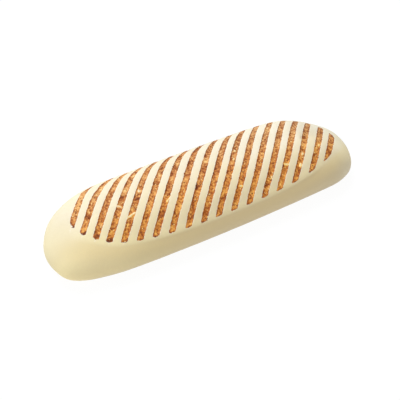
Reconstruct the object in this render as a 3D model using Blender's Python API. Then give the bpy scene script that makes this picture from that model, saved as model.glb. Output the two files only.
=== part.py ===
"""A panini roll: one long, flat bread roll with slanting grill marks, lying on its base.

The roll is one closed solid. Its crust is a chain of rings. Each ring is an upright cut
through the roll that runs parallel to the grill marks, so every mark is a straight groove
along a few rings, with a rounded band of crust standing between it and the next one.
Run it with: blender --background --python part.py
"""

import math
from dataclasses import dataclass

import bmesh
import bpy

# Driving dimensions, in metres. X is the roll's length, -Y its front and Z is up.
LENGTH = 0.250
WIDTH = 0.0730
HEIGHT = 0.0386
WAIST_HEIGHT = 0.0126  # height of the roll's widest line
BASE_ROUNDING = 0.0167  # from the widest line in to the flat of the base
BASE_ROUNDNESS = 1.76

# The crown falls away towards both tips, by these shares of its height.
CROWN_FALL_LEFT = 0.065
CROWN_FALL_RIGHT = 0.124
CROWN_TILT = 0.024  # rise towards the back

# Grill marks
MARKS = 18
MARK_PITCH = 0.01275  # along X
MARK_SLANT = math.radians(40.4)  # from the Y axis
MARKS_CENTRE = 0.0047  # where the middle of the row of marks crosses y = 0
MARK_WIDTH = 0.487  # of the pitch, where a mark is widest
MARK_WIDTH_LOSS = 0.045  # of the pitch, at the loss reach from there
LOSS_REACH = 0.026
WIDEST_LINE = -0.003  # y where a mark is widest
MARK_WALL = 0.11  # of the pitch, inside a mark's edge, where it comes up from its floor
MARK_DEPTH = 0.0008
BAND_CROWN = 0.0001  # how far a band's middle stands above its edges
MARK_FADE = 0.0030  # over which a mark's end comes up to the crust

# The patch that the grill pressed, which the marks run across
PATCH_CENTRE = 0.006
PATCH_LEFT = 0.109
PATCH_RIGHT = 0.109

# Resolution
RING_TOP_STEPS = 24
RING_BASE_STEPS = 12
LEFT_END_RINGS = 9
RIGHT_END_RINGS = 6
SEARCH_STEPS = 48
SEARCH_REACH = 1.2  # of the half width: how far out a ring's edge is looked for
LEAST = 1e-9  # keeps the spine's own share defined

# sRGB colours of the crust and of a toasted mark, 0 to 255
CRUST_COLOUR = (240, 226, 188)
MARK_COLOUR = (186, 112, 54)

HALF_LENGTH = LENGTH / 2
HALF_WIDTH = WIDTH / 2


@dataclass(frozen=True)
class Side:
    """The front or the back half of the roll, with lengths in metres."""

    narrowing: float  # of the half width, from the middle to an end
    taper: float  # of the half width, from the left to the right
    shoulder: float  # from the widest line in to the crown
    shoulder_taper: float  # growth of the shoulder from the middle to the right end
    roundness: float  # 2 is a circle's arc, and more is squarer
    roundness_taper: float
    patch_reach: float  # of the grilled patch, from the middle line
    patch_left: float  # bluntness of the patch's left end
    patch_right: float


@dataclass(frozen=True)
class End:
    """The left or the right end of the roll, with lengths in metres."""

    front_length: float  # of the rounded end along the front
    back_length: float
    bluntness: float  # exponent of the outline from above: 2 is an ellipse
    shoulder: float
    roundness: float
    crown_fall: float
    patch_length: float


@dataclass(frozen=True)
class Dent:
    """A place where the outline from above is pushed in, in metres. Below 0, it bulges out."""

    x: float
    y: float
    reach: float
    depth: float


FRONT = Side(0.118, -0.017, 0.0375, -0.0054, 1.93, 0.08, 0.0311, 2.62, 2.65)
BACK = Side(0.083, 0.007, 0.0263, 0.0018, 2.60, -0.11, 0.0337, 3.2, 2.3)
LEFT = End(0.0387, 0.0524, 2.30, 0.0405, 2.00, CROWN_FALL_LEFT, PATCH_LEFT)
RIGHT = End(0.0244, 0.0599, 2.23, 0.0483, 1.89, CROWN_FALL_RIGHT, PATCH_RIGHT)
DENTS = (
    Dent(-0.119, -0.024, 0.009, -0.0012),
    Dent(-0.096, -0.035, 0.013, 0.0017),
    Dent(-0.124, 0.014, 0.010, 0.0009),
    Dent(0.104, 0.016, 0.015, 0.0013),
    Dent(0.107, -0.030, 0.007, 0.0010),
)


def side_of(y):
    """The half of the roll that y lies in."""
    return FRONT if y < 0 else BACK


def end_of(x):
    """The end of the roll that x is nearer to."""
    return LEFT if x < 0 else RIGHT


def mix(a, b, share):
    """The value the given share of the way from a to b."""
    return a + (b - a) * share


def smooth_step(value):
    """0 below 0, 1 above 1, and a soft curve between."""
    value = min(max(value, 0.0), 1.0)
    return value * value * (3 - 2 * value)


def outline_radius(x, y):
    """(radius, side share): radius is 0 on the roll's spine and 1 on its outline from above."""
    side = side_of(y)
    end = end_of(x)
    along = x / HALF_LENGTH
    half_width = HALF_WIDTH * (1 - side.narrowing * along * along + side.taper * along)
    across = abs(y) / half_width
    backness = smooth_step((y / half_width + 1) / 2)
    end_length = mix(end.front_length, end.back_length, backness)
    out = max(abs(x) - (HALF_LENGTH - end_length), 0.0) / end_length
    radius = (out**end.bluntness + across**end.bluntness) ** (1 / end.bluntness)
    for dent in DENTS:
        away = ((x - dent.x) ** 2 + (y - dent.y) ** 2) / dent.reach**2
        radius += dent.depth / HALF_WIDTH * math.exp(-away)
    side_share = across * across / (out * out + across * across + LEAST)
    return radius, side_share


def arch(inset, width, roundness):
    """Height share of a rounded shoulder, 0 on the outline and 1 past its width."""
    out = min(max(1 - inset / width, 0.0), 1.0)
    return (1 - out**roundness) ** (1 / roundness)


def crust_height(x, y):
    """Height of the upper crust, without its marks."""
    radius, share = outline_radius(x, y)
    side = side_of(y)
    end = end_of(x)
    along = x / HALF_LENGTH
    inset = HALF_WIDTH * max(1 - radius, 0.0)
    shoulder = mix(end.shoulder, side.shoulder + side.shoulder_taper * along, share)
    roundness = mix(end.roundness, side.roundness + side.roundness_taper * along, share)
    crown = HEIGHT * (1 - end.crown_fall * abs(along) ** 3) + CROWN_TILT * y
    return WAIST_HEIGHT + (crown - WAIST_HEIGHT) * arch(inset, shoulder, roundness)


def base_height(x, y):
    """Height of the underside, which is flat but for its rounded rim."""
    radius, _ = outline_radius(x, y)
    inset = HALF_WIDTH * max(1 - radius, 0.0)
    return WAIST_HEIGHT * (1 - arch(inset, BASE_ROUNDING, BASE_ROUNDNESS))


def patch_inset(x, y):
    """Rough distance inside the grilled patch's edge, negative outside it."""
    side = side_of(y)
    end = end_of(x - PATCH_CENTRE)
    blunt = side.patch_left if end is LEFT else side.patch_right
    along = abs(x - PATCH_CENTRE) / end.patch_length
    across = abs(y) / side.patch_reach
    return (1 - (along**blunt + across**blunt) ** (1 / blunt)) * side.patch_reach


def mark_phase(x, y):
    """Distance from the nearest mark's centre line, in pitches."""
    first = MARKS_CENTRE - MARK_PITCH * (MARKS - 1) / 2
    place = (x - y * math.tan(MARK_SLANT) - first) / MARK_PITCH
    return abs(place - min(max(round(place), 0), MARKS - 1))


def half_mark(y):
    """Half the width of every mark at y, in pitches."""
    off_widest = (y - WIDEST_LINE) / LOSS_REACH
    return (MARK_WIDTH - MARK_WIDTH_LOSS * off_widest * off_widest) / 2


def relief(x, y):
    """How far the crust lies below its plain surface at a mark or beside one."""
    phase = mark_phase(x, y)
    if phase > 0.5:
        return 0.0
    half = half_mark(y)
    pressed = smooth_step((half - phase) / MARK_WALL)
    band = min(max((phase - half) / (0.5 - half), 0.0), 1.0)
    depth = MARK_DEPTH * pressed + BAND_CROWN * (1 - band) ** 2
    return depth * smooth_step(patch_inset(x, y) / MARK_FADE)


def cut_point(offset, y):
    """The (x, y) on the cut that crosses y = 0 at the given offset."""
    return offset + y * math.tan(MARK_SLANT), y


def cut_radius(offset, y):
    """The outline radius on a cut."""
    return outline_radius(*cut_point(offset, y))[0]


def deepest_y(offset):
    """Where a cut comes nearest to the roll's spine, by ternary search."""
    low, high = -HALF_WIDTH, HALF_WIDTH
    for _ in range(SEARCH_STEPS):
        third = (high - low) / 3
        if cut_radius(offset, low + third) < cut_radius(offset, high - third):
            high -= third
        else:
            low += third
    return (low + high) / 2


def edge_y(offset, inside, outside):
    """Where a cut meets the outline between two values of y, by bisection."""
    for _ in range(SEARCH_STEPS):
        middle = (inside + outside) / 2
        if cut_radius(offset, middle) < 1:
            inside = middle
        else:
            outside = middle
    return (inside + outside) / 2


def tip_offset(direction):
    """Offset of the last cut that touches the roll, to the left (-1) or the right (1)."""
    inside, outside = 0.0, direction * 2 * HALF_LENGTH
    for _ in range(SEARCH_STEPS):
        middle = (inside + outside) / 2
        if cut_radius(middle, deepest_y(middle)) < 1:
            inside = middle
        else:
            outside = middle
    return inside


def ring_offsets():
    """Offsets of the rings: six to each mark, and ever closer ones towards the tips."""
    first = MARKS_CENTRE - MARK_PITCH * (MARKS - 1) / 2
    top = MARK_WIDTH / 2
    foot = top - MARK_WALL
    steps = (-0.5, -top, -foot, 0.0, foot, top)  # a band's middle, then over one mark, in pitches
    offsets = [first + MARK_PITCH * (mark + step) for mark in range(MARKS) for step in steps]
    offsets.append(first + MARK_PITCH * (MARKS - 0.5))
    left, right = tip_offset(-1), tip_offset(1)
    left_end = [mix(offsets[0], left, math.sin(math.pi / 2 * step / (LEFT_END_RINGS + 1)))
                for step in range(LEFT_END_RINGS, 0, -1)]
    right_end = [mix(offsets[-1], right, math.sin(math.pi / 2 * step / (RIGHT_END_RINGS + 1)))
                 for step in range(1, RIGHT_END_RINGS + 1)]
    return left_end + offsets + right_end


def ring(offset):
    """One ring's points: over the top from the front to the back, then under the base."""
    middle = deepest_y(offset)
    front = edge_y(offset, middle, -SEARCH_REACH * HALF_WIDTH)
    back = edge_y(offset, middle, SEARCH_REACH * HALF_WIDTH)
    points = []
    for step in range(RING_TOP_STEPS + 1):
        x, y = cut_point(offset, mix(front, back, (1 - math.cos(math.pi * step / RING_TOP_STEPS)) / 2))
        points.append((x, y, crust_height(x, y) - relief(x, y)))
    for step in range(1, RING_BASE_STEPS):
        x, y = cut_point(offset, mix(back, front, (1 - math.cos(math.pi * step / RING_BASE_STEPS)) / 2))
        points.append((x, y, base_height(x, y)))
    return points


def tip(direction):
    """The point where the last cut touches the outline."""
    offset = tip_offset(direction)
    x, y = cut_point(offset, deepest_y(offset))
    return x, y, WAIST_HEIGHT


def linear(colour):
    """An sRGB colour, 0 to 255, as linear RGBA."""
    shares = [value / 255 for value in colour]
    curve = [share / 12.92 if share <= 0.04045 else ((share + 0.055) / 1.055) ** 2.4 for share in shares]
    return (*curve, 1.0)


def finish(name, colour, roughness):
    """A plain Principled material."""
    material = bpy.data.materials.new(name)
    material.use_nodes = True
    shader = material.node_tree.nodes["Principled BSDF"]
    shader.inputs["Base Color"].default_value = linear(colour)
    shader.inputs["Roughness"].default_value = roughness
    shader.inputs["Metallic"].default_value = 0.0
    material.diffuse_color = linear(colour)
    return material


def is_toasted(face):
    """True where a face lies on the floor of a mark."""
    centre = face.calc_center_median()
    upper = centre.z > WAIST_HEIGHT
    in_mark = mark_phase(centre.x, centre.y) < half_mark(centre.y)
    return upper and in_mark and patch_inset(centre.x, centre.y) > 0


def build_roll():
    """The roll as one closed mesh object."""
    mesh = bpy.data.meshes.new("panini_roll")
    shape = bmesh.new()
    rings = [[shape.verts.new(point) for point in ring(offset)] for offset in ring_offsets()]
    left_tip, right_tip = shape.verts.new(tip(-1)), shape.verts.new(tip(1))
    count = len(rings[0])
    for near, far in zip(rings, rings[1:]):
        for step in range(count):
            after = (step + 1) % count
            shape.faces.new((near[step], far[step], far[after], near[after]))
    for step in range(count):
        after = (step + 1) % count
        shape.faces.new((left_tip, rings[0][step], rings[0][after]))
        shape.faces.new((right_tip, rings[-1][after], rings[-1][step]))
    for face in shape.faces:
        face.smooth = True
        face.material_index = int(is_toasted(face))
    bmesh.ops.recalc_face_normals(shape, faces=shape.faces[:])
    shape.to_mesh(mesh)
    shape.free()
    roll = bpy.data.objects.new("panini_roll", mesh)
    mesh.materials.append(finish("soft_crust", CRUST_COLOUR, 0.6))
    mesh.materials.append(finish("toasted_mark", MARK_COLOUR, 0.7))
    bpy.context.scene.collection.objects.link(roll)
    return roll


def main():
    """Clears the scene and builds the roll."""
    for old in list(bpy.data.objects):
        bpy.data.objects.remove(old, do_unlink=True)
    build_roll()


main()
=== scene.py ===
"""Dresses a grilled panini roll: a pale, soft crust with toasted marks slanting across its crown.

The roll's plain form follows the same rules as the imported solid, on a far finer mesh. Geometry
Nodes press the grill marks into it, and scatter the toasted grains that lie in them.
"""

import logging
import math
from dataclasses import dataclass
from enum import Enum
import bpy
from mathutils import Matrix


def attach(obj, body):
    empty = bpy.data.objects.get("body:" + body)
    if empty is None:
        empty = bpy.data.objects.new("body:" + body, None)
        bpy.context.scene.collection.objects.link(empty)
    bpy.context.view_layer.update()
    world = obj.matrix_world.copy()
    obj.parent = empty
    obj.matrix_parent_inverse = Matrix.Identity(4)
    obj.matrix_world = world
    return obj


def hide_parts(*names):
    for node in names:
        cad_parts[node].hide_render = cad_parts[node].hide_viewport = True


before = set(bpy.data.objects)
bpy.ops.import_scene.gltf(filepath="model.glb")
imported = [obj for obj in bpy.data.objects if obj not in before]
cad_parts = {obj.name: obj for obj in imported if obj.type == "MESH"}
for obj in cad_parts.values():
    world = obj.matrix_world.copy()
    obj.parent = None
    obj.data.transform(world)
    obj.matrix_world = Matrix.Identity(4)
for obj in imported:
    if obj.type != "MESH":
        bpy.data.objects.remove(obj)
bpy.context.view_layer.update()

from types import SimpleNamespace

import bmesh
import bpy
import numpy as np
from mathutils import Matrix, Vector

logging.basicConfig(level=logging.INFO, format="%(name)s: %(message)s")
log = logging.getLogger("panini")

MM = 0.001
ROLL_NODE = "panini_roll"
ROOT = "root"

Array = np.ndarray
Socket = bpy.types.NodeSocket
Object = bpy.types.Object
Material = bpy.types.Material
Colour = tuple[float, float, float, float]


class Slot(Enum):
    """The record's material slots."""

    CRUST = "soft_crust"
    MARK = "toasted_mark"


class Field(Enum):
    """Attributes that the pressed crust carries for its finishes."""

    EDGE = "mark_edge"  # metres along X inside the nearest mark's edge, negative on the bands
    INSET = "patch_inset"  # metres inside the edge of the grilled patch
    GAP = "gap_distance"  # metres to the nearest spot that the grill missed
    SCORCH = "scorch_distance"  # metres to the nearest spot that it burnt


def linear(red: float, green: float, blue: float) -> Colour:
    """A screen colour, 0 to 255 for each part, as linear RGBA."""
    shares = [part / 255 for part in (red, green, blue)]
    curve = [share / 12.92 if share <= 0.04045 else ((share + 0.055) / 1.055) ** 2.4 for share in shares]
    return (*curve, 1.0)


def mix(first: Array, second: Array, share: Array) -> Array:
    """The value the given share of the way from the first to the second."""
    return first + (second - first) * share


def smooth_step(value: Array) -> Array:
    """0 below 0, 1 above 1, and a soft curve between."""
    value = np.clip(value, 0.0, 1.0)
    return value * value * (3 - 2 * value)


@dataclass(frozen=True)
class Span:
    """Where a soft step begins and where it ends, in millimetres. It runs either way."""

    begin: float
    end: float


def direction(azimuth: float, elevation: float) -> Vector:
    """Where a bearing points, in degrees round from the front, -Y, towards +X, and up."""
    around, up = math.radians(azimuth), math.radians(elevation)
    return Vector((math.sin(around) * math.cos(up), -math.cos(around) * math.cos(up), math.sin(up)))


def add_object(name: str, data: bpy.types.ID) -> Object:
    """A new object in the scene."""
    made = bpy.data.objects.new(name, data)
    bpy.context.scene.collection.objects.link(made)
    return made


# ------------------------------
# The roll's plain form


@dataclass(frozen=True)
class Side:
    """The front or the back half of the roll, with lengths in metres."""

    narrowing: float  # of the half width, from the middle to an end
    taper: float  # of the half width, from the left to the right
    shoulder: float  # from the widest line in to the crown
    shoulder_taper: float  # growth of the shoulder from the middle to the right end
    roundness: float  # 2 is a circle's arc, and more is squarer
    roundness_taper: float
    patch_reach: float  # of the grilled patch, from the middle line
    patch_left: float  # bluntness of the patch's left end
    patch_right: float


@dataclass(frozen=True)
class End:
    """The left or the right end of the roll, with lengths in metres."""

    front_length: float  # of the rounded end along the front
    back_length: float
    bluntness: float  # exponent of the outline from above: 2 is an ellipse
    shoulder: float
    roundness: float
    crown_fall: float  # share of the height that the crown loses towards the tip
    patch_length: float


@dataclass(frozen=True)
class Dent:
    """A place where an outline from above is pushed in, in metres. Below 0, it bulges out."""

    x: float
    y: float
    reach: float
    depth: float

    def push(self, x: Array, y: Array) -> Array:
        """How far it pushes the outline in at every point."""
        return self.depth * np.exp(-((x - self.x) ** 2 + (y - self.y) ** 2) / self.reach**2)


@dataclass(frozen=True)
class Marks:
    """The row of grill marks, with lengths in metres."""

    count: int = 18
    pitch: float = 0.01275  # along X
    slant: float = math.tan(math.radians(40.4))  # shift along X for each metre along Y
    centre: float = 0.0047  # where the middle of the row crosses y = 0
    width: float = 0.487  # of the pitch, where a mark is widest
    width_loss: float = 0.045  # of the pitch, at the loss reach from there
    loss_reach: float = 0.026
    widest_line: float = -0.003  # y where a mark is widest
    wall: float = 0.11  # of the pitch, inside a mark's edge, where it comes up from its floor
    depth: float = 0.0008
    band_crown: float = 0.0001  # how far a band's middle stands above its edges
    fade: float = 0.0030  # over which a mark's end comes up to the crust
    taper: float = 0.0003  # over which a mark narrows to its end
    lip: float = 0.0007  # how far the bands' front ends bulge
    lip_line: float = 0.0100  # y behind which they don't
    lip_foot: float = -0.0026  # inset where the lip begins, outside the patch
    lip_edge: float = -0.0006  # where it stands highest
    lip_end: float = 0.0070  # where it has run out
    bow: float = 0.0005  # how far every mark sways from its straight line
    bow_length: float = 0.060
    bow_crest: float = -0.010  # y where it sways furthest towards the right
    hook: float = 0.0011  # how far the front ends of the right-hand marks turn to the left
    curl: float = 0.0006  # how far the marks' back ends turn to the right
    left_curl: float = 0.0019  # how much further those at the left end do
    feather: float = 0.0050  # how far the very tips behind bend on, along the roll
    hook_across: Span = Span(-18, -32)  # where the hook comes in
    hook_along: Span = Span(-50, 60)
    curl_across: Span = Span(8, 28)
    curl_along: Span = Span(-84, -72)  # the first mark's tip hardly turns
    left_curl_along: Span = Span(-10, -80)
    feather_across: Span = Span(21, 35)
    feather_along: tuple[Span, ...] = (Span(70, -15), Span(-80, -62))
    lip_along: tuple[Span, ...] = (Span(-75, -30), Span(96, 70))
    spot_wall: Span = Span(0.3, 1.1)  # round a missed spot, where the crust falls to a mark's floor
    strays: tuple[tuple[int, float], ...] = (  # marks that lie to one side, and how far in millimetres
        (4, -0.3), (5, -0.5), (8, 0.2), (9, 0.75), (10, 0.65), (15, -0.25), (16, -0.2), (17, 0.7))
    stray_near: float = 0.3  # of the pitch, round a stray mark, which moves as far as the mark does
    stray_far: float = 0.7  # beyond which nothing moves with it

    @property
    def first(self) -> float:
        """Where the first mark crosses y = 0."""
        return self.centre - self.pitch * (self.count - 1) / 2

    @property
    def last(self) -> float:
        """The last mark's number, counted from 0."""
        return float(self.count - 1)


@dataclass(frozen=True)
class RollForm:
    """The roll without its marks: heights over every point (x, y), for whole arrays of points."""

    length: float = 0.250
    width: float = 0.0730
    height: float = 0.0386
    waist: float = 0.0126  # height of the widest line
    base_rounding: float = 0.0167
    base_roundness: float = 1.76
    crown_tilt: float = 0.024  # rise towards the back
    patch_centre: float = 0.006
    front: Side = Side(0.118, -0.017, 0.0375, -0.0054, 1.93, 0.08, 0.0311, 2.62, 2.65)
    back: Side = Side(0.083, 0.007, 0.0263, 0.0018, 2.60, -0.11, 0.0337, 3.2, 2.3)
    left: End = End(0.0387, 0.0524, 2.30, 0.0405, 2.00, 0.065, 0.109)
    right: End = End(0.0244, 0.0599, 2.23, 0.0483, 1.89, 0.124, 0.109)
    dents: tuple[Dent, ...] = (
        Dent(-0.119, -0.024, 0.009, -0.0012),
        Dent(-0.096, -0.035, 0.013, 0.0017),
        Dent(-0.124, 0.014, 0.010, 0.0009),
        Dent(0.104, 0.016, 0.015, 0.0013),
        Dent(0.107, -0.030, 0.007, 0.0010),
    )
    patch_dent: Dent = Dent(-0.094, -0.0135, 0.012, 0.00105)
    search_steps: int = 48

    def of_side(self, name: str, y: Array) -> Array:
        """A side's named value at each y."""
        return np.where(y < 0, getattr(self.front, name), getattr(self.back, name))

    def of_end(self, name: str, x: Array) -> Array:
        """An end's named value at each x."""
        return np.where(x < 0, getattr(self.left, name), getattr(self.right, name))

    def outline_radius(self, x: Array, y: Array) -> tuple[Array, Array]:
        """Where points lie between the roll's spine and its outline from above.

        Args:
            x: Places along the roll.
            y: Places across it.

        Returns:
            The radius, 0 on the spine and 1 on the outline, and the side's share against the end's.
        """
        along = x / (self.length / 2)
        narrowing, taper = self.of_side("narrowing", y), self.of_side("taper", y)
        half_width = self.width / 2 * (1 - narrowing * along * along + taper * along)
        across = np.abs(y) / half_width
        backness = smooth_step((y / half_width + 1) / 2)
        end_length = mix(self.of_end("front_length", x), self.of_end("back_length", x), backness)
        out = np.maximum(np.abs(x) - (self.length / 2 - end_length), 0.0) / end_length
        blunt = self.of_end("bluntness", x)
        radius = (out**blunt + across**blunt) ** (1 / blunt)
        for dent in self.dents:
            radius = radius + dent.push(x, y) / (self.width / 2)
        least = 1e-9
        return radius, across**2 / (out**2 + across**2 + least)

    @staticmethod
    def arch(inset: Array, width: Array, roundness: Array) -> Array:
        """Height share of a rounded shoulder, 0 on the outline and 1 past its width."""
        out = np.clip(1 - inset / width, 0.0, 1.0)
        return (1 - out**roundness) ** (1 / roundness)

    def crust_height(self, x: Array, y: Array) -> Array:
        """Height of the upper crust, without its marks."""
        radius, share = self.outline_radius(x, y)
        along = x / (self.length / 2)
        inset = self.width / 2 * np.maximum(1 - radius, 0.0)
        side_shoulder = self.of_side("shoulder", y) + self.of_side("shoulder_taper", y) * along
        side_roundness = self.of_side("roundness", y) + self.of_side("roundness_taper", y) * along
        shoulder = mix(self.of_end("shoulder", x), side_shoulder, share)
        roundness = mix(self.of_end("roundness", x), side_roundness, share)
        fall = self.of_end("crown_fall", x) * np.abs(along) ** 3
        crown = self.height * (1 - fall) + self.crown_tilt * y
        return self.waist + (crown - self.waist) * self.arch(inset, shoulder, roundness)

    def base_height(self, x: Array, y: Array) -> Array:
        """Height of the underside, which is flat but for its rounded rim."""
        radius, _ = self.outline_radius(x, y)
        inset = self.width / 2 * np.maximum(1 - radius, 0.0)
        return self.waist * (1 - self.arch(inset, self.base_rounding, self.base_roundness))

    def patch_inset(self, x: Array, y: Array) -> Array:
        """Rough distance inside the grilled patch's edge, negative outside it."""
        from_centre = x - self.patch_centre
        left = from_centre < 0
        blunt = np.where(left, self.of_side("patch_left", y), self.of_side("patch_right", y))
        along = np.abs(from_centre) / np.where(left, self.left.patch_length, self.right.patch_length)
        reach = self.of_side("patch_reach", y)
        across = np.abs(y) / reach
        return (1 - (along**blunt + across**blunt) ** (1 / blunt)) * reach - self.patch_dent.push(x, y)


@dataclass(frozen=True)
class CutRings:
    """Upright cuts through the roll, parallel to the marks, that its mesh is drawn on."""

    form: RollForm
    marks: Marks

    def radius(self, offset: Array, y: Array) -> Array:
        """Outline radius on the cuts that cross y = 0 at the offsets."""
        return self.form.outline_radius(offset + y * self.marks.slant, y)[0]

    def deepest(self, offset: Array) -> Array:
        """Where each cut comes nearest to the roll's spine, by ternary search."""
        low = np.full_like(offset, -self.form.width / 2)
        high = -low
        for _ in range(self.form.search_steps):
            third = (high - low) / 3
            nearer = self.radius(offset, low + third) < self.radius(offset, high - third)
            low, high = np.where(nearer, low, low + third), np.where(nearer, high - third, high)
        return (low + high) / 2

    def edge(self, offset: Array, inside: Array, direction: int) -> Array:
        """Where each cut meets the outline, in front (-1) or behind (1), by bisection."""
        outside = np.full_like(offset, direction * self.form.width)
        for _ in range(self.form.search_steps):
            middle = (inside + outside) / 2
            within = self.radius(offset, middle) < 1
            inside, outside = np.where(within, middle, inside), np.where(within, outside, middle)
        return (inside + outside) / 2

    def tip(self, direction: int) -> tuple[float, float]:
        """Offset of the last cut that touches the roll at an end, and the y where it does."""
        inside = np.zeros(1)
        outside = np.full(1, direction * self.form.length)
        for _ in range(self.form.search_steps):
            middle = (inside + outside) / 2
            within = self.radius(middle, self.deepest(middle)) < 1
            inside, outside = np.where(within, middle, inside), np.where(within, outside, middle)
        return float(inside[0]), float(self.deepest(inside)[0])


# ------------------------------
# Node trees


class Net:
    """Adds and joins the nodes of one tree."""

    def __init__(self, tree: bpy.types.NodeTree) -> None:
        """Keeps the tree."""
        self.tree = tree

    def feed(self, node: bpy.types.Node, name: str | int, value: object) -> None:
        """Gives a node's input a constant, or joins it to another node's output."""
        if isinstance(name, int):
            target = node.inputs[name]
        else:
            target = next(socket for socket in node.inputs if socket.name == name and socket.enabled)
        if isinstance(value, Socket):
            self.tree.links.new(value, target)
        else:
            target.default_value = value

    def node(self, kind: str, inputs: dict[str | int, object] | None = None,
             **settings: object) -> bpy.types.Node:
        """Adds a node.

        Args:
            kind: The node's type.
            inputs: Values or outputs for its input sockets.
            **settings: The node's own properties.

        Returns:
            The new node.
        """
        node = self.tree.nodes.new(kind)
        for name, value in settings.items():
            setattr(node, name, value)
        for name, value in (inputs or {}).items():
            self.feed(node, name, value)
        return node

    def out(self, node: bpy.types.Node, name: str) -> Socket:
        """A node's live output of that name."""
        return next(socket for socket in node.outputs if socket.name == name and socket.enabled)

    def math(self, operation: str, *values: object) -> Socket:
        """The result of a Math node."""
        return self.node("ShaderNodeMath", dict(enumerate(values)), operation=operation).outputs[0]

    def plus(self, first: object, second: object) -> Socket:
        """The sum of two values."""
        return self.math("ADD", first, second)

    def minus(self, first: object, second: object) -> Socket:
        """The first value less the second."""
        return self.math("SUBTRACT", first, second)

    def times(self, first: object, *others: object) -> Socket:
        """The product of all the values."""
        for other in others:
            first = self.math("MULTIPLY", first, other)
        return first

    def limited(self, value: Socket, most: object = 1.0) -> Socket:
        """The value, but not below 0 or above the most."""
        return self.math("MINIMUM", self.math("MAXIMUM", value, 0.0), most)

    def vector(self, operation: str, inputs: dict[str | int, object]) -> Socket:
        """The result of a Vector Math node."""
        return self.node("ShaderNodeVectorMath", inputs, operation=operation).outputs[0]

    def ramp(self, value: object, low: object, high: object, start: object = 0.0,
             stop: object = 1.0) -> Socket:
        """A soft step: start up to low, stop from high on."""
        inputs = {"Value": value, "From Min": low, "From Max": high, "To Min": start, "To Max": stop}
        return self.node("ShaderNodeMapRange", inputs, interpolation_type="SMOOTHSTEP").outputs[0]

    def step(self, value: Socket, span: Span, start: object = 0.0, stop: object = 1.0) -> Socket:
        """A soft step over a span of a value in metres."""
        return self.ramp(value, span.begin * MM, span.end * MM, start, stop)

    def within(self, value: Socket, spans: tuple[Span, ...]) -> Socket:
        """The product of the soft steps over several spans."""
        return self.times(*(self.step(value, span) for span in spans))

    def noise(self, place: Socket, grain: float, detail: float, seed: object) -> Socket:
        """A noise from 0 to 1. Its features have the grain's size, and the detail adds finer layers."""
        inputs = {"Vector": place, "Scale": 1 / grain, "Detail": detail, "W": seed}
        return self.node("ShaderNodeTexNoise", inputs, noise_dimensions="4D").outputs[0]

    def field(self, field: Field) -> Socket:
        """An attribute of the crust, read in Geometry Nodes."""
        named = self.node("GeometryNodeInputNamedAttribute", {"Name": field.value}, data_type="FLOAT")
        return self.out(named, "Attribute")

    def random(self, low: object, high: object, seed: object) -> Socket:
        """An even random number for each element of a geometry."""
        node = self.node("FunctionNodeRandomValue", data_type="FLOAT")
        for name, value in (("Min", low), ("Max", high), ("Seed", seed)):
            self.feed(node, name, value)
        return self.out(node, "Value")

    def swing(self, noise: Socket, reach: object) -> Socket:
        """A noise from 0 to 1 spread about 0, to the reach on both sides."""
        centred = self.math("MULTIPLY_ADD", noise, 2.0, -1.0)
        return self.math("MULTIPLY", centred, reach)

    def blend(self, share: object, first: object, second: object, blend_type: str = "MIX") -> Socket:
        """A colour between two colours."""
        node = self.node("ShaderNodeMix", data_type="RGBA", blend_type=blend_type)
        for name, value in (("Factor", share), ("A", first), ("B", second)):
            self.feed(node, name, value)
        return self.out(node, "Result")

    def colour_ramp(self, value: Socket, stops: tuple[tuple[float, Colour], ...]) -> Socket:
        """A colour read from a row of stops."""
        node = self.node("ShaderNodeValToRGB", {"Fac": value})
        elements = node.color_ramp.elements
        for index, (position, colour) in enumerate(stops):
            element = elements[index] if index < len(elements) else elements.new(position)
            element.position = position
            element.color = colour
        return node.outputs[0]


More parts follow.
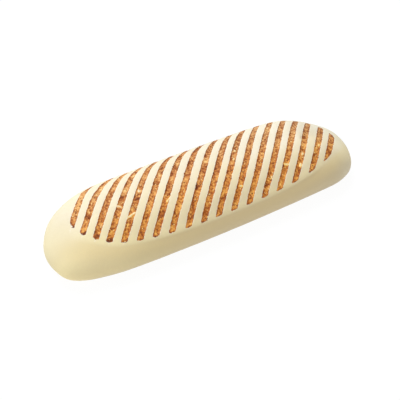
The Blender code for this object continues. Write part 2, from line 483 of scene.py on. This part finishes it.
class NodesModifier:
    """A Geometry Nodes tree with named inputs, run once on an object."""

    def __init__(self, name: str) -> None:
        """Starts an empty tree of that name."""
        self.tree = bpy.data.node_groups.new(name, "GeometryNodeTree")
        self.net = Net(self.tree)
        self.values: dict[str, object] = {}
        self.tree.interface.new_socket("Geometry", in_out="INPUT", socket_type="NodeSocketGeometry")
        self.tree.interface.new_socket("Geometry", in_out="OUTPUT", socket_type="NodeSocketGeometry")
        self.entry = self.net.node("NodeGroupInput")

    def input(self, name: str, kind: str, value: object) -> Socket:
        """Adds a named input.

        Args:
            name: The input's name.
            kind: Its socket type, such as Float, Int, Object or Material.
            value: What the modifier sets it to.

        Returns:
            The socket that carries it inside the tree.
        """
        self.tree.interface.new_socket(name, in_out="INPUT", socket_type=f"NodeSocket{kind}")
        self.values[name] = value
        return self.net.out(self.entry, name)

    def sizes(self, owner: object, *names: str) -> dict[str, Socket]:
        """Adds a named input for each of the owner's values."""
        titles = {name: name.replace("_", " ").title() for name in names}
        return {name: self.input(title, "Float", getattr(owner, name)) for name, title in titles.items()}

    @property
    def geometry(self) -> Socket:
        """The geometry that comes in."""
        return self.entry.outputs["Geometry"]

    def close(self, geometry: Socket, finish: Socket) -> None:
        """Ends the tree: the instances are made real and take the finish."""
        real = self.net.node("GeometryNodeRealizeInstances", {"Geometry": geometry})
        dressed = self.net.node("GeometryNodeSetMaterial", {"Geometry": real.outputs[0], "Material": finish})
        self.net.node("NodeGroupOutput", {"Geometry": dressed.outputs[0]})

    def run(self, carrier: Object, name: str) -> Object:
        """Runs the tree on an object and keeps the result as a plain mesh.

        Args:
            carrier: The object whose mesh goes in. It is left as it is.
            name: The new object's name.

        Returns:
            The new object, with a mesh of its own and no modifier.
        """
        modifier = carrier.modifiers.new(self.tree.name, "NODES")
        modifier.node_group = self.tree
        for item in self.tree.interface.items_tree:
            if item.in_out == "INPUT" and item.name in self.values:
                modifier[item.identifier] = self.values[item.name]
        bpy.context.view_layer.update()
        evaluated = carrier.evaluated_get(bpy.context.evaluated_depsgraph_get())
        mesh = bpy.data.meshes.new_from_object(evaluated)
        carrier.modifiers.remove(modifier)
        mesh.name = name
        return add_object(name, mesh)


# ------------------------------
# Finishes


def principled(name: str, values: dict[str, object]) -> tuple[Material, Net, bpy.types.Node]:
    """A new material, what joins its nodes, and its Principled node with the values."""
    material = bpy.data.materials.new(name)
    material.use_nodes = True
    net = Net(material.node_tree)
    shader = material.node_tree.nodes["Principled BSDF"]
    for socket, value in values.items():
        net.feed(shader, socket, value)
    return material, net, shader


@dataclass(frozen=True)
class Tint:
    """A colour laid over another one between soft limits."""

    colour: Colour
    strength: float = 1.0
    blending: str = "MULTIPLY"
    along: tuple[Span, ...] = ()
    across: tuple[Span, ...] = ()
    height: tuple[Span, ...] = ()
    inset: tuple[Span, ...] = ()  # inside the edge of the grilled patch

    def over(self, net: Net, under: Socket, places: dict[str, Socket]) -> Socket:
        """The colour under it, tinted. The places go by the names of the limits."""
        shares = [net.step(place, span) for name, place in places.items() for span in getattr(self, name)]
        return net.blend(net.times(self.strength, *shares), under, self.colour, self.blending)


@dataclass(frozen=True)
class CrustFinish:
    """The pale crust and, inside the marks, its toasted surface."""

    cream: Colour = linear(244, 228, 202)
    milk: Colour = linear(248, 236, 218)
    # the front's and the sides' colours: partly the crust's own tone, partly painted shade
    butter: Colour = linear(243, 222, 180)
    khaki: Colour = linear(243, 225, 173)
    dusk: Colour = linear(229, 212, 174)
    browning_and_highlight: tuple[Tint, ...] = (  # a toasted browning in front, just outside the grilled patch, and a painted highlight on the bands' front ends
        Tint(linear(240, 214, 154), 0.55, "MIX", inset=(Span(-8, -3), Span(0, -2)), across=(Span(5, -15),)),
        # a painted highlight on the bands' front ends
        Tint(linear(255, 236, 182), 0.5, "MIX", inset=(Span(-1.6, -0.2), Span(4, 1)),
             across=(Span(0, -18),), along=(Span(98, 80),)),
    )
    # a painted highlight round the marks' edges, where their walls would catch the light
    rim: Colour = linear(250, 233, 205)
    toasting: tuple[tuple[float, Colour], ...] = (  # a mark's colours by its tone
        (0.34, linear(112, 52, 18)),
        (0.43, linear(168, 92, 40)),
        (0.51, linear(204, 134, 74)),
        (0.60, linear(232, 172, 106)),
        (0.70, linear(250, 216, 150)),
    )
    painted_shade_and_light: tuple[Tint, ...] = (  # painted shade at the left tip, painted light at the right one and in front on the left, painted shade just above the base
        Tint((0.93, 0.945, 1.04, 1.0), along=(Span(-85, -112),), across=(Span(-22, -4),)),
        Tint((1.09, 1.15, 1.27, 1.0), along=(Span(94, 112),)),
        Tint((1.06, 1.055, 1.05, 1.0), along=(Span(-60, -88),), across=(Span(-12, -26),)),
        Tint((0.72, 0.74, 0.83, 1.0), along=(Span(-120, -85),), height=(Span(16, 6),)),
    )
    front_tan: Tint = Tint((1.10, 0.99, 0.55, 1.0), across=(Span(20, -20),))  # on the marks
    flush: Colour = (1.0, 1.15, 1.42, 1.0)  # multiplied with the marks towards the right and the back
    straw_dust: Colour = linear(234, 214, 168)
    roughness: float = 0.62
    mark_roughness: float = 0.72
    specular: float = 0.3
    bump: float = 0.25 * MM
    edge_wear: float = 0.0004  # how far a mark's ragged edge strays
    edge: Span = Span(-0.12, 0.22)  # inside a mark's edge, where the toasting comes in
    painted_edge_shade: Span = Span(0.1, 1.3)  # where it is a little darker: painted shade on the marks' walls
    rim_highlight_reach: Span = Span(-0.9, -0.1)
    spot_core: Span = Span(0.12, 0.68)  # from a missed spot, where the toasting comes in
    spot_halo: Span = Span(0.4, 1.3)  # where it is golden
    scorch_halo: Span = Span(0.4, 2.4)  # from a scorched spot, where it is dark
    spot_tone: float = 0.2
    edge_tone: float = 0.07

    def sear(self, net: Net, place: Socket) -> tuple[Socket, ...]:
        """Where the crust is toasted.

        Args:
            net: The material's tree.
            place: The point on the object.

        Returns:
            The toasted share, the share of the pale rim round it, which takes a painted highlight,
            how much lighter the toasting is than elsewhere, less the painted shade along its edges,
            and the distance inside the grilled patch.
        """
        attributes = [net.node("ShaderNodeAttribute", attribute_name=field.value) for field in Field]
        from_edge, inset, gap, scorch = (net.out(attribute, "Fac") for attribute in attributes)
        ragged = net.swing(net.noise(place, 1.3 * MM, 3.0, 2.0), self.edge_wear * 2)
        inside = net.math("MINIMUM", net.plus(from_edge, ragged), net.plus(inset, ragged))
        gap = net.plus(gap, ragged)
        toasted = net.times(net.step(inside, self.edge), net.step(gap, self.spot_core, self.spot_tone))
        # the pale rim, where a painted highlight goes round the marks
        rim = net.step(inside, self.rim_highlight_reach)
        lighter = net.step(gap, self.spot_halo, self.spot_tone, 0.0)
        lighter = net.minus(lighter, net.step(scorch, self.scorch_halo, self.spot_tone, 0.0))
        # painted shade along the marks' walls
        lighter = net.minus(lighter, net.step(inside, self.painted_edge_shade, self.edge_tone, 0.0))
        return toasted, rim, lighter, inset

    def build(self) -> Material:
        """Makes the material.

        Returns:
            A Principled material on Object coordinates and the crust's own attributes.
        """
        material, net, shader = principled("crust_with_marks", {"Specular IOR Level": self.specular})
        place = net.node("ShaderNodeTexCoord").outputs["Object"]
        toasted, rim, lighter, inset = self.sear(net, place)
        along, across, height = net.node("ShaderNodeSeparateXYZ", {"Vector": place}).outputs
        broad = net.swing(net.noise(place, 22 * MM, 3.0, 1.0), 30 * MM)
        fine = net.noise(place, 1.6 * MM, 3.0, 5.0)
        # yellower towards the front and khaki lower down: partly the crust's own tone, partly painted shade
        frontness = net.ramp(net.plus(across, broad), 20 * MM, -22 * MM)
        crown = net.blend(net.ramp(along, -10 * MM, 90 * MM), self.cream, self.milk)
        side = net.blend(net.ramp(along, -80 * MM, 10 * MM), self.khaki, self.dusk)
        crust = net.blend(frontness, crown, self.butter)
        crust = net.blend(net.ramp(height, 45 * MM, 14 * MM), crust, side)
        places = {"along": along, "across": across, "height": height, "inset": inset}
        for tint in self.browning_and_highlight:
            crust = tint.over(net, crust, places)
        crust = net.blend(net.ramp(fine, 0.3, 0.75, 0.0, 0.25), crust, self.straw_dust)
        # the painted highlight round the marks
        crust = net.blend(net.times(rim, 0.7), crust, self.rim)
        # painted shade and light laid over the crust's colour
        for tint in self.painted_shade_and_light:
            crust = tint.over(net, crust, places)
        grain = net.noise(place, 1.6 * MM, 2.0, 3.0)
        patches = net.noise(place, 4.5 * MM, 2.0, 4.0)
        tone = net.math("MULTIPLY_ADD", patches, 0.45, net.times(grain, 0.55))
        tone = net.plus(tone, lighter)
        middle = net.ramp(along, 25 * MM, 60 * MM, -0.02, 0.005)
        paler = net.ramp(along, -10 * MM, -55 * MM, middle, 0.045)
        tone = net.math("MULTIPLY_ADD", paler, net.ramp(across, 2 * MM, 18 * MM), tone)
        mark = net.colour_ramp(tone, self.toasting)
        mark = self.front_tan.over(net, mark, places)
        flushed = net.ramp(net.math("MULTIPLY_ADD", across, 1.5, along), 10 * MM, 110 * MM)
        mark = net.blend(flushed, mark, self.flush, "MULTIPLY")
        net.feed(shader, "Base Color", net.blend(toasted, crust, mark))
        net.feed(shader, "Roughness", net.ramp(toasted, 0.0, 1.0, self.roughness, self.mark_roughness))
        pores = net.noise(place, 0.9 * MM, 3.0, 6.0)
        crumb = net.times(grain, net.ramp(toasted, 0.0, 1.0, 0.15, 1.0))
        relief = net.math("MULTIPLY_ADD", pores, 0.2, crumb)
        bump = net.node("ShaderNodeBump", {"Height": relief, "Distance": self.bump, "Strength": 0.6})
        net.feed(shader, "Normal", bump.outputs[0])
        return material


@dataclass(frozen=True)
class GrainFinish:
    """The finish of one kind of toasted grain."""

    name: str
    deep: Colour
    light: Colour
    roughness: float = 0.7
    specular: float = 0.35

    def build(self) -> Material:
        """Makes the material, its tone changing from grain to grain."""
        values = {"Roughness": self.roughness, "Specular IOR Level": self.specular}
        material, net, shader = principled(self.name, values)
        place = net.node("ShaderNodeTexCoord").outputs["Object"]
        tone = net.ramp(net.noise(place, 1.2 * MM, 2.0, 8.0), 0.35, 0.65)
        net.feed(shader, "Base Color", net.blend(tone, self.deep, self.light))
        bump = net.node("ShaderNodeBump", {"Height": tone, "Distance": 0.1 * MM, "Strength": 0.5})
        net.feed(shader, "Normal", bump.outputs[0])
        return material


@dataclass(frozen=True)
class FloorFinish:
    """The plain pale floor."""

    colour: Colour = (0.08, 0.08, 0.08, 1.0)
    roughness: float = 0.9
    light: Colour = (1.0, 1.0, 1.0, 1.0)
    glow: float = 0.94

    def build(self) -> Material:
        """Makes the material, a matt white that glows a little, as a lit table does."""
        values = {"Base Color": self.colour, "Roughness": self.roughness, "Specular IOR Level": 0.0,
                  "Emission Color": self.light, "Emission Strength": self.glow}
        return principled("floor_white", values)[0]


# ------------------------------
# Pieces


@dataclass(frozen=True)
class Stroke:
    """A short stroke across a mark where the grill did its work badly, in millimetres from above."""

    x: float
    y: float
    reach: float  # from end to end
    turn: float  # of the stroke from X, in degrees

    def ends(self) -> tuple[tuple[float, float], tuple[float, float]]:
        """Its two end points in metres."""
        turn = math.radians(self.turn)
        half = Vector((math.cos(turn), math.sin(turn))) * self.reach / 2
        middle = Vector((self.x, self.y))
        return tuple((middle - half) * MM), tuple((middle + half) * MM)


@dataclass(frozen=True)
class Ground:
    """What the pressing tree reads at every point of the crust."""

    net: Net
    size: SimpleNamespace  # the tree's inputs, by the names of the fields that set them
    seed: Socket
    position: Socket
    x: Socket
    y: Socket
    z: Socket
    inset: Socket  # distance inside the grilled patch
    gap: Socket  # distance to the nearest missed spot


@dataclass(frozen=True)
class Crust:
    """The whole roll's skin, with its marks pressed in."""

    form: RollForm = RollForm()
    marks: Marks = Marks()
    rings_per_mark: int = 22
    left_rings: int = 48
    right_rings: int = 30
    top_steps: int = 144
    base_steps: int = 52
    edge_wander: float = 0.0003
    unevenness: float = 0.00022
    crumb_relief: float = 0.00016
    small_share: float = 0.25  # of the unevenness
    even_base: Span = Span(1, 7)  # above the base, where the dough becomes uneven
    seed: int = 7
    misses: tuple[Stroke, ...] = ()  # where the grill left the crust pale
    scorches: tuple[Stroke, ...] = ()  # where it burnt it

    def offsets(self, rings: CutRings) -> Array:
        """Where the cuts cross y = 0: evenly over the marks, ever closer towards the tips."""
        marks = self.marks
        first = marks.first - marks.pitch / 2
        last = first + marks.count * marks.pitch
        over_marks = np.linspace(first, last, marks.count * self.rings_per_mark + 1)
        left, right = rings.tip(-1)[0], rings.tip(1)[0]
        left_shares = np.sin(math.pi / 2 * np.arange(self.left_rings, 0, -1) / (self.left_rings + 1))
        right_shares = np.sin(math.pi / 2 * np.arange(1, self.right_rings + 1) / (self.right_rings + 1))
        return np.concatenate([mix(first, left, left_shares), over_marks, mix(last, right, right_shares)])

    def shell(self) -> Object:
        """The plain skin as one closed mesh, with its distance inside the grilled patch.

        Returns:
            The object, not yet pressed.
        """
        rings = CutRings(self.form, self.marks)
        offset = self.offsets(rings)
        middle = rings.deepest(offset)
        front, back = rings.edge(offset, middle, -1), rings.edge(offset, middle, 1)
        top = (1 - np.cos(math.pi * np.arange(self.top_steps + 1) / self.top_steps)) / 2
        base = (1 - np.cos(math.pi * np.arange(1, self.base_steps) / self.base_steps)) / 2
        top_y = mix(front[:, None], back[:, None], top)
        base_y = mix(back[:, None], front[:, None], base)
        top_x, base_x = (offset[:, None] + y * self.marks.slant for y in (top_y, base_y))
        x, y = np.hstack([top_x, base_x]), np.hstack([top_y, base_y])
        z = np.hstack([self.form.crust_height(top_x, top_y), self.form.base_height(base_x, base_y)])
        points = np.stack([x, y, z], axis=-1).reshape(-1, 3)
        ends = (rings.tip(-1), rings.tip(1))
        tips = [(at + y_at * self.marks.slant, y_at, self.form.waist) for at, y_at in ends]
        ring_count, size = z.shape
        index = np.arange(ring_count * size).reshape(ring_count, size)
        after = np.roll(index, -1, axis=1)
        quads = np.stack([index[:-1], index[1:], after[1:], after[:-1]], axis=-1).reshape(-1, 4)
        left_tip, right_tip = len(points), len(points) + 1
        fans = [(left_tip, a, b) for a, b in zip(index[0], after[0])]
        fans += [(right_tip, b, a) for a, b in zip(index[-1], after[-1])]
        mesh = bpy.data.meshes.new("plain_crust")
        mesh.from_pydata([*points.tolist(), *tips], [], [*quads.tolist(), *fans])
        self.face_outwards(mesh)
        inset = self.form.patch_inset(x, y).ravel()
        attribute = mesh.attributes.new(Field.INSET.value, "FLOAT", "POINT")
        outside = np.full(len(tips), inset.min())
        attribute.data.foreach_set("value", np.concatenate([inset, outside]).astype(np.float32))
        return add_object("plain_crust", mesh)

    @staticmethod
    def face_outwards(mesh: bpy.types.Mesh) -> None:
        """Turns a closed mesh's faces to point out of it, and shades them smooth."""
        shape = bmesh.new()
        shape.from_mesh(mesh)
        bmesh.ops.recalc_face_normals(shape, faces=shape.faces[:])
        shape.to_mesh(mesh)
        shape.free()
        mesh.shade_smooth()

    def drawn(self, name: str, strokes: tuple[Stroke, ...]) -> Object:
        """The strokes as loose edges on the crust."""
        points = [point for stroke in strokes for point in stroke.ends()]
        x, y = np.array(points).T
        z = self.form.crust_height(x, y)
        edges = [(2 * index, 2 * index + 1) for index in range(len(strokes))]
        mesh = bpy.data.meshes.new(name)
        mesh.from_pydata(np.stack([x, y, z], axis=-1).tolist(), edges, [])
        return add_object(name, mesh)

    @staticmethod
    def distance_to(net: Net, lines: Socket) -> Socket:
        """How far every point of the crust is from the nearest of an object's edges."""
        strokes = net.out(net.node("GeometryNodeObjectInfo", {"Object": lines}), "Geometry")
        near = net.node("GeometryNodeProximity", {0: strokes}, target_element="EDGES")
        return net.out(near, "Distance")

    def sway(self, at: Ground) -> Socket:
        """How far the marks stray along X from straight lines."""
        marks, net, size = self.marks, at.net, at.size
        along = net.math("DIVIDE", net.minus(at.y, marks.bow_crest), marks.bow_length / math.tau)
        sway = net.times(net.math("COSINE", along), size.bow)
        sway = net.plus(sway, net.swing(net.noise(at.position, 7 * MM, 2.0, at.seed), size.edge_wander))
        hooked = net.times(net.step(at.y, marks.hook_across), net.step(at.x, marks.hook_along))
        sway = net.minus(sway, net.times(hooked, size.hook))
        curled = net.plus(size.curl, net.step(at.x, marks.left_curl_along, 0.0, size.left_curl))
        curled = net.times(curled, net.step(at.x, marks.curl_along))
        sway = net.math("MULTIPLY_ADD", net.step(at.y, marks.curl_across), curled, sway)
        feathered = net.within(at.x, marks.feather_along)
        bent = net.times(net.step(at.y, marks.feather_across), size.feather)
        return net.math("MULTIPLY_ADD", feathered, bent, sway)

    def place(self, at: Ground) -> Socket:
        """Where a point lies in the row: 0 on the first mark's middle line, 1 on the second's."""
        marks, net, size = self.marks, at.net, at.size
        crossing = net.minus(net.minus(at.x, net.times(at.y, size.slant)), size.first)
        regular = net.math("DIVIDE", net.minus(crossing, self.sway(at)), size.pitch)
        place = regular
        for number, shift in marks.strays:
            beside = net.math("ABSOLUTE", net.minus(regular, float(number - 1)))
            moved = net.ramp(beside, marks.stray_near, marks.stray_far, shift * MM / marks.pitch, 0.0)
            place = net.minus(place, moved)
        return place

    def half_width(self, at: Ground) -> Socket:
        """Half of a mark's width, as a share of the pitch."""
        marks, net, size = self.marks, at.net, at.size
        off_widest = net.math("DIVIDE", net.minus(at.y, marks.widest_line), marks.loss_reach)
        width = net.minus(size.width, net.times(off_widest, off_widest, size.width_loss))
        return net.times(width, 0.5, net.limited(net.math("DIVIDE", at.inset, size.taper)))

    def lowered(self, at: Ground, phase: Socket, half_width: Socket, in_row: Socket) -> Socket:
        """How far the grill pressed the crust down.

        Args:
            at: What the tree reads at a point.
            phase: How far it is from the nearest mark's middle line, as a share of the pitch.
            half_width: Half of the mark's width, as such a share.
            in_row: 1 in the row of marks, and 0 elsewhere.

        Returns:
            The depth in metres.
        """
        net, size = at.net, at.size
        pressed = net.ramp(phase, net.minus(half_width, size.wall), half_width, 1.0, 0.0)
        pressed = net.times(pressed, net.step(at.gap, self.marks.spot_wall))
        to_crown = net.minus(0.5, half_width)
        band = net.limited(net.math("DIVIDE", net.minus(phase, half_width), to_crown))
        below_crown = net.math("POWER", net.minus(1.0, band), 2.0)
        lowered = net.math("MULTIPLY_ADD", size.depth, pressed, net.times(size.band_crown, below_crown))
        in_patch = net.times(net.ramp(at.inset, 0.0, size.fade), in_row)
        relief = net.times(size.crumb_relief, pressed)
        rough = net.swing(net.noise(at.position, 1.1 * MM, 2.0, at.seed), relief)
        return net.math("MULTIPLY_ADD", rough, in_patch, net.times(lowered, in_patch))

    def grown(self, at: Ground, in_row: Socket) -> Socket:
        """How far the dough stands out: unevenly, and in a lip at the bands' front ends.

        Args:
            at: What the tree reads at a point.
            in_row: 1 in the row of marks, and 0 elsewhere.

        Returns:
            The distance in metres.
        """
        marks, net, unevenness = self.marks, at.net, at.size.unevenness
        at_lip = net.times(
            net.ramp(at.inset, marks.lip_foot, marks.lip_edge, 0.0, in_row),
            net.ramp(at.inset, marks.lip_edge, marks.lip_end, 1.0, 0.0),
            net.ramp(at.y, marks.lip_line, -marks.lip_line),
            net.within(at.x, marks.lip_along))
        broad = net.swing(net.noise(at.position, 16 * MM, 2.0, at.seed), unevenness)
        reach = net.times(unevenness, self.small_share)
        small = net.swing(net.noise(at.position, 3 * MM, 3.0, at.seed), reach)
        grown = net.times(net.plus(broad, small), net.step(at.z, self.even_base))
        return net.math("MULTIPLY_ADD", at_lip, at.size.lip, grown)

    def press(self, finish: Material, misses: Object, scorches: Object) -> NodesModifier:
        """The tree that presses the marks and makes the dough uneven.

        Args:
            finish: The crust's material.
            misses: The strokes that the grill missed.
            scorches: The strokes that it burnt.

        Returns:
            The tree, with its inputs set.
        """
        nodes = NodesModifier("press_marks")
        net = nodes.net
        size = SimpleNamespace(
            **nodes.sizes(self.marks, "pitch", "first", "last", "slant", "width", "width_loss", "wall",
                          "depth", "band_crown", "fade", "taper", "bow", "hook", "curl", "left_curl",
                          "feather", "lip"),
            **nodes.sizes(self, "edge_wander", "unevenness", "crumb_relief"),
            **nodes.sizes(self.form, "waist"))
        gap = self.distance_to(net, nodes.input("Missed Spots", "Object", misses))
        scorch = self.distance_to(net, nodes.input("Scorched Spots", "Object", scorches))
        seed = nodes.input("Seed", "Int", self.seed)
        coat = nodes.input("Finish", "Material", finish)
        position = net.node("GeometryNodeInputPosition").outputs[0]
        x, y, z = net.node("ShaderNodeSeparateXYZ", {"Vector": position}).outputs
        at = Ground(net, size, seed, position, x, y, z, net.field(Field.INSET), gap)

        place = self.place(at)
        nearest = net.limited(net.math("ROUND", place), size.last)
        phase = net.math("ABSOLUTE", net.minus(place, nearest))
        half_width = self.half_width(at)
        above_waist = net.math("GREATER_THAN", z, size.waist)
        in_row = net.times(net.math("LESS_THAN", phase, 0.5), above_waist)
        from_edge = net.times(net.minus(half_width, phase), size.pitch)
        from_edge = net.math("MINIMUM", from_edge, net.minus(z, size.waist))

        lowered = self.lowered(at, phase, half_width, in_row)
        down = net.node("ShaderNodeCombineXYZ", {"Z": net.times(lowered, -1.0)}).outputs[0]
        normal = net.node("GeometryNodeInputNormal").outputs[0]
        out = net.vector("SCALE", {0: normal, "Scale": self.grown(at, in_row)})
        offset = net.vector("ADD", {0: out, 1: down})

        stored = nodes.geometry
        for field, value in ((Field.EDGE, from_edge), (Field.GAP, gap), (Field.SCORCH, scorch)):
            inputs = {"Geometry": stored, "Name": field.value, "Value": value}
            stored = net.node("GeometryNodeStoreNamedAttribute", inputs).outputs[0]
        pushed = net.node("GeometryNodeSetPosition", {"Geometry": stored, "Offset": offset})
        nodes.close(pushed.outputs[0], coat)
        return nodes

    def build(self) -> Object:
        """Builds and dresses the crust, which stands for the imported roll.

        Returns:
            The finished piece.
        """
        shell = self.shell()
        misses = self.drawn("missed_spots", self.misses)
        scorches = self.drawn("scorched_spots", self.scorches)
        crust = self.press(CrustFinish().build(), misses, scorches).run(shell, "roll_crust")
        for spare in (shell, misses, scorches):
            bpy.data.objects.remove(spare, do_unlink=True)
        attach(crust, ROOT)
        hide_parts(ROLL_NODE)
        log.info("%s: %d faces", crust.name, len(crust.data.polygons))
        return crust


@dataclass(frozen=True)
class Grains:
    """One kind of toasted crumb, strewn over the marks' floors."""

    name: str
    finish: GrainFinish
    density: float  # grains for each square metre of a mark
    least_radius: float
    most_radius: float
    seed: int
    flatness: float = 0.32  # height of a grain against its width
    slimness: float = 0.6  # least width of a grain against its length
    irregularity: float = 0.35  # of its radius
    edge_margin: float = 0.0005  # how far inside the mark's edge a grain lies
    gap_margin: float = 0.0010

    def density_field(self, net: Net, density: Socket) -> Socket:
        """How densely grains lie at a point: none outside the marks or at a missed spot."""
        on_mark: Socket | float = 1.0
        margins = {Field.EDGE: self.edge_margin, Field.INSET: self.edge_margin, Field.GAP: self.gap_margin}
        for field, margin in margins.items():
            on_mark = net.times(net.math("GREATER_THAN", net.field(field), margin), on_mark)
        return net.times(density, on_mark)

    def strew(self) -> NodesModifier:
        """The tree that strews the grains.

        Returns:
            The tree, with its inputs set.
        """
        nodes = NodesModifier(f"strew_{self.name}")
        net = nodes.net
        names = ("density", "least_radius", "most_radius", "flatness", "slimness", "irregularity")
        size = SimpleNamespace(**nodes.sizes(self, *names))
        seed = nodes.input("Seed", "Int", self.seed)
        coat = nodes.input("Finish", "Material", self.finish.build())

        spread = net.node("GeometryNodeDistributePointsOnFaces", {
            "Mesh": nodes.geometry, "Density": self.density_field(net, size.density), "Seed": seed})
        ball = net.node("GeometryNodeMeshIcoSphere", {"Radius": 1.0, "Subdivisions": 1})
        radius = net.random(size.least_radius, size.most_radius, seed)
        slim = net.random(size.slimness, 1.0, net.plus(seed, 1.0))
        scale = net.node("ShaderNodeCombineXYZ", {
            "X": radius, "Y": net.times(radius, slim), "Z": net.times(radius, size.flatness)})
        angle = net.random(0.0, math.tau, net.plus(seed, 2.0))
        spin = net.node("ShaderNodeCombineXYZ", {"Z": angle})
        turn = net.node("FunctionNodeRotateRotation", {
            "Rotation": net.out(spread, "Rotation"), "Rotate By": spin.outputs[0]}, rotation_space="LOCAL")
        placed = net.node("GeometryNodeInstanceOnPoints", {
            "Points": net.out(spread, "Points"), "Instance": ball.outputs["Mesh"],
            "Rotation": turn.outputs[0], "Scale": scale.outputs[0]})
        loose = net.node("GeometryNodeRealizeInstances", {"Geometry": placed.outputs[0]})
        position = net.node("GeometryNodeInputPosition").outputs[0]
        normal = net.node("GeometryNodeInputNormal").outputs[0]
        reach = net.times(size.irregularity, size.most_radius)
        dent = net.swing(net.noise(position, 0.8 * MM, 1.0, seed), reach)
        push = net.vector("SCALE", {0: normal, "Scale": dent})
        dented = net.node("GeometryNodeSetPosition", {"Geometry": loose.outputs[0], "Offset": push})
        nodes.close(dented.outputs[0], coat)
        return nodes

    def build(self, crust: Object) -> Object:
        """Strews and dresses the grains.

        Args:
            crust: The finished crust, which is left as it is.

        Returns:
            The grains as one piece.
        """
        grains = self.strew().run(crust, self.name)
        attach(grains, ROOT)
        log.info("%s: %d faces", grains.name, len(grains.data.polygons))
        return grains


# ------------------------------
# Floor, light and camera


@dataclass(frozen=True)
class SoftLight:
    """A square softbox that faces the roll."""

    name: str
    azimuth: float  # degrees round from the front, -Y, towards +X
    elevation: float
    distance: float
    size: float
    power: float
    colour: tuple[float, float, float] = (1.0, 1.0, 1.0)

    def build(self, target: Vector) -> Object:
        """Places the light so that it faces the target."""
        data = bpy.data.lights.new(self.name, "AREA")
        data.size = self.size
        data.energy = self.power
        data.color = self.colour
        light = add_object(self.name, data)
        away = direction(self.azimuth, self.elevation)
        light.location = target + away * self.distance
        light.rotation_euler = (-away).to_track_quat("-Z", "Y").to_euler()
        return light


@dataclass(frozen=True)
class Studio:
    """The floor, the lights and the camera."""

    floor_size: float = 6.0
    world_colour: tuple[float, float, float] = (1.0, 0.95, 0.90)
    world_strength: float = 0.316
    lights: tuple[SoftLight, ...] = (
        SoftLight("back_softbox", 180.0, 60.0, 1.4, 0.9, 13.35, (1.0, 1.10, 1.17)),
        SoftLight("left_softbox", -90.0, 30.0, 1.4, 0.9, 5.98, (1.0, 1.10, 1.17)),
        SoftLight("top_softbox", 0.0, 89.0, 1.4, 0.9, 2.05, (1.0, 1.10, 1.17)),
    )
    target: Vector = Vector((-0.00622, -0.00776, 0.02))
    azimuth: float = -27.473
    elevation: float = 50.438
    roll: float = 0.595
    distance: float = 0.5875
    lens: float = 71.62
    sensor: float = 36.0

    def build_floor(self) -> None:
        """The pale floor that the roll lies on."""
        shape = bmesh.new()
        bmesh.ops.create_grid(shape, x_segments=1, y_segments=1, size=self.floor_size / 2)
        mesh = bpy.data.meshes.new("floor")
        shape.to_mesh(mesh)
        shape.free()
        mesh.materials.append(FloorFinish().build())
        add_object("floor", mesh)

    def build_world(self) -> None:
        """The even light of a white room."""
        world = bpy.data.worlds.new("white_room")
        world.use_nodes = True
        background = world.node_tree.nodes["Background"]
        background.inputs["Color"].default_value = (*self.world_colour, 1.0)
        background.inputs["Strength"].default_value = self.world_strength
        bpy.context.scene.world = world

    def build_camera(self) -> None:
        """The camera, turned a little about its own axis."""
        data = bpy.data.cameras.new("camera")
        data.lens = self.lens
        data.sensor_width = self.sensor
        back = direction(self.azimuth, self.elevation)
        tilt = Matrix.Rotation(math.radians(self.roll), 3, "Z")
        turn = ((-back).to_track_quat("-Z", "Y").to_matrix() @ tilt).to_quaternion()
        camera = add_object("camera", data)
        camera.matrix_world = Matrix.LocRotScale(self.target + back * self.distance, turn, None)
        bpy.context.scene.camera = camera

    def build(self) -> None:
        """Builds all of it, with plain colours that aren't toned."""
        self.build_floor()
        self.build_world()
        self.build_camera()
        for light in self.lights:
            light.build(self.target)
        bpy.context.scene.view_settings.view_transform = "Standard"


MISSES = tuple(Stroke(*numbers) for numbers in (
    (-66.8, -0.5, 5.5, -48.0), (-67.6, 0.6, 3.4, -40.0), (-62.2, -10.2, 7.5, 14.0), (-32.0, -9.3, 3.0, 20.0),
    (5.6, 13.0, 3.0, -35.0), (21.7, -19.4, 2.6, -30.0), (31.4, 9.6, 0.8, 0.0), (27.0, 2.9, 0.8, 60.0),
    (46.0, -21.1, 1.0, 30.0), (61.3, -16.5, 3.4, -27.0), (77.2, -13.5, 1.5, 50.0), (71.5, -20.3, 2.0, 50.0),
    (92.9, -11.0, 0.8, 0.0), (-48.6, 6.2, 2.0, 70.0), (-48.0, 5.6, 1.0, 0.0),
))
SCORCHES = tuple(Stroke(*numbers) for numbers in (
    (-99.7, -0.6, 2.5, 0.0), (-96.7, -9.5, 3.0, 10.0), (-89.5, -14.5, 2.5, 0.0), (-83.6, -20.3, 3.5, 0.0),
    (-10.0, -8.0, 2.0, 60.0),
))
CHAR = GrainFinish("charred_crumb", linear(132, 68, 28), linear(176, 100, 46))
TOAST = GrainFinish("golden_crumb", linear(228, 164, 88), linear(252, 222, 152))
GRAINS = (
    Grains("charred_grains", CHAR, density=0.8e5, least_radius=0.35 * MM, most_radius=0.85 * MM, seed=11),
    Grains("golden_grains", TOAST, density=0.8e5, least_radius=0.30 * MM, most_radius=0.70 * MM, seed=23),
)


def main() -> None:
    """Builds every piece in order."""
    crust = Crust(misses=MISSES, scorches=SCORCHES).build()
    for grains in GRAINS:
        grains.build(crust)
    Studio().build()


if __name__ == "__main__":
    main()
